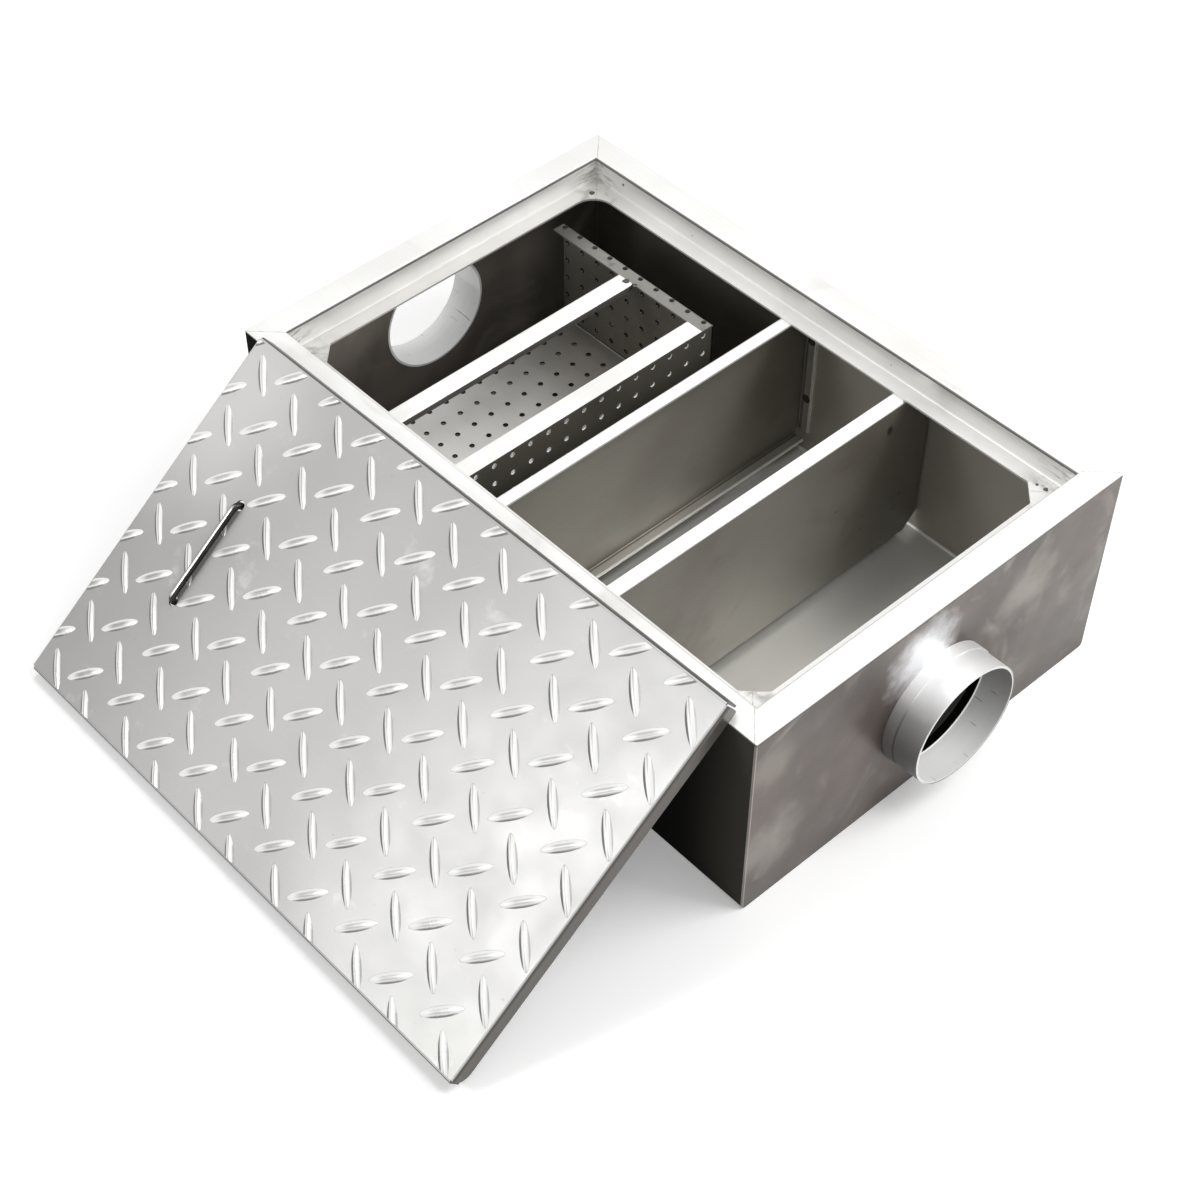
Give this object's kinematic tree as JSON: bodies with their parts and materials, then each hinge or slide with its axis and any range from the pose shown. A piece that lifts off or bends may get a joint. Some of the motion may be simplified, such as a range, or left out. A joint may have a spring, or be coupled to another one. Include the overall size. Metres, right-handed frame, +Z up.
{
  "type": "grease trap",
  "caption": "Low steel grease trap with baffles and a perforated basket, a pipe stub at each end, and its tread-plate lid leaning on the front.",
  "frame": {"origin": "middle of the tank's underside", "axes": "+X with the flow towards the outlet pipe, +Z up, the lid leaning on the -Y side"},
  "size_m": [0.668, 0.6738, 0.2189],
  "materials": {
    "pale_steel": "satin, nearly white",
    "outer_steel": "satin, blotchy brown-grey",
    "stained_steel": "satin, dark brown-grey",
    "stub_steel": "turned satin with a heat tint",
    "weld_metal": "dark, scaly",
    "basket_steel": "satin",
    "tread_steel": "rolled tread plate, satin",
    "handle_steel": "dark drawn rod"
  },
  "bodies": {
    "trap": {"tank_shell": "stained_steel", "inlet_end_wall": "stained_steel", "outlet_end_wall": "outer_steel", "front_frame": "pale_steel", "back_frame": "pale_steel", "inlet_frame": "pale_steel", "outlet_frame": "pale_steel", "inlet_pipe": "stub_steel", "inlet_collar": "stub_steel", "outlet_pipe": "stub_steel", "outlet_collar": "stub_steel", "first_baffle": "stained_steel", "first_baffle_welds": "weld_metal", "second_baffle": "stained_steel", "basket": "basket_steel", "basket_outlet_rim": "pale_steel", "carry_bar": "pale_steel", "inlet_side_rail": "stained_steel", "outlet_side_rail": "stained_steel", "lid": "tread_steel"},
    "handle": {"lid_handle": "handle_steel", "handle_stops": "handle_steel"}
  },
  "joints": [
    {"name": "handle_lift", "type": "slide", "parent": "trap", "child": "handle", "axis": [0, -0.601, 0.7992], "range_m": [0, 0.03]}
  ]
}
